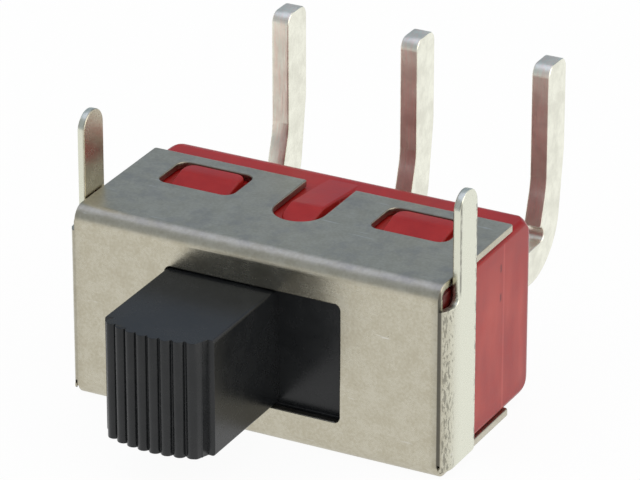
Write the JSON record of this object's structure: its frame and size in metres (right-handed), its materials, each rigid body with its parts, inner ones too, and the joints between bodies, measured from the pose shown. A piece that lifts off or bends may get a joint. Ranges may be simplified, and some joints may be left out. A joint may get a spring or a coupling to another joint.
{
  "type": "slide switch",
  "caption": "Slide switch for a circuit board: ribbed knob in a folded metal frame, moulded case, upturned terminals and legs.",
  "frame": {"origin": "underside of the frame's bottom flange, below the rocker's middle line and between the outer terminals", "axes": "+X is the way the knob slides from its rest end, +Y runs from the knob to the terminals, +Z is the way the legs and pins point"},
  "size_m": [0.0134, 0.0164, 0.0095],
  "materials": {
    "tinned_steel": "satin tin plate",
    "red_plastic": "moulded, satin",
    "sealing_compound": "cast, slightly glossy",
    "tinned_brass": "bright tin plate",
    "contact_silver": "satin silver",
    "contact_bronze": "rolled strip, satin",
    "black_plastic": "moulded, satin",
    "plunger_brass": "turned, bright",
    "spring_wire": "bright drawn wire"
  },
  "bodies": {
    "base": {"mounting_frame": "tinned_steel", "case": "red_plastic", "terminal_seal": "sealing_compound", "left_terminal": "tinned_brass", "common_terminal": "tinned_brass", "right_terminal": "tinned_brass", "left_contact": "contact_silver", "right_contact": "contact_silver"},
    "slider": {"slider": "black_plastic", "plunger_spring": "spring_wire"},
    "plunger": {"plunger": "plunger_brass"},
    "rocker": {"rocker_contact": "contact_bronze"}
  },
  "joints": [
    {"name": "slider_slide", "type": "slide", "parent": "base", "child": "slider", "axis": [1, 0, 0], "range_m": [0, 0.00226]},
    {"name": "plunger_slide", "type": "slide", "parent": "slider", "child": "plunger", "axis": [0, -1, 0], "range_m": [0, 0.0003], "stiffness_N_per_m": 1500, "springref_m": -0.0003, "deforming": ["plunger_spring"]},
    {"name": "rocker_tip", "type": "hinge", "parent": "base", "child": "rocker", "pos_m": [0, 0.00079, 0.00325], "axis": [0, 0, 1], "range_deg": [0, 8]}
  ],
  "couplings": [
    {"joint": "rocker_tip", "follows": "slider_slide", "rad_per_m": 61.7}
  ]
}
